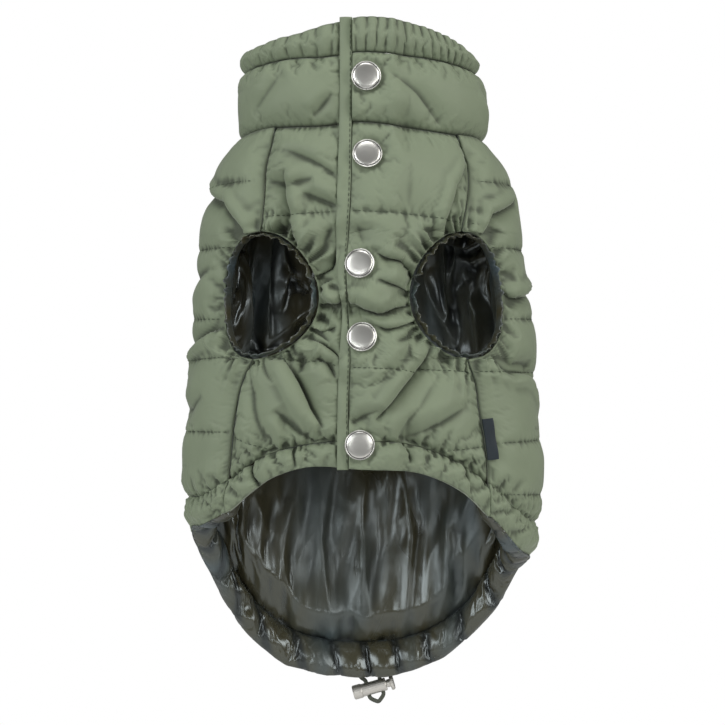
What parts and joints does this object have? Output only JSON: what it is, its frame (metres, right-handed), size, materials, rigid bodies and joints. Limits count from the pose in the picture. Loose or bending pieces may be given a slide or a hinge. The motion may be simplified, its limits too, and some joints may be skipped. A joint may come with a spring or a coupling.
{
  "type": "dog vest",
  "caption": "Quilted padded vest for a small dog, worn shape: gathered collar, snap front, frilled armholes, drawn-in hem with a cord lock.",
  "frame": {"origin": "middle of the neck seam ring, inside the neck, where the wearer holds the vest up", "axes": "+Z towards the collar, the snapped front faces -Y, the back +Y, +X to the right of a viewer who faces the front"},
  "size_m": [0.1808, 0.1134, 0.3426],
  "materials": {
    "shell": "olive padded polyester, soft satin",
    "lining": "dark glossy nylon lining",
    "label": "navy woven label, bare",
    "tape": "pale woven tape",
    "cord": "braided olive-grey cord",
    "snap": "nickel-plated snap caps",
    "lock": "satin silver cord lock"
  },
  "bodies": {
    "vest": {"front_left": "shell", "front_right": "shell", "back_panel": "shell", "back_lining": "lining", "collar": "shell", "collar_casing": "shell", "hem_band_left": "shell", "hem_band_right": "shell", "hem_band_back": "shell", "hem_roll": "lining", "placket_strip": "shell", "armhole_frill_left": "lining", "armhole_frill_right": "lining", "label": "label", "cord_outlet": "shell", "cord_tape": "tape", "draw_cord": "cord", "snap_cap_1": "snap", "snap_cap_2": "snap", "snap_cap_3": "snap", "snap_cap_4": "snap", "snap_cap_5": "snap", "lock_barrel": "lock"},
    "plunger": {"lock_plunger": "lock"}
  },
  "joints": [
    {"name": "plunger_press", "type": "slide", "parent": "vest", "child": "plunger", "axis": [-0.9632, 0, -0.2689], "range_m": [0, 0.0018], "stiffness_N_per_m": 400}
  ]
}
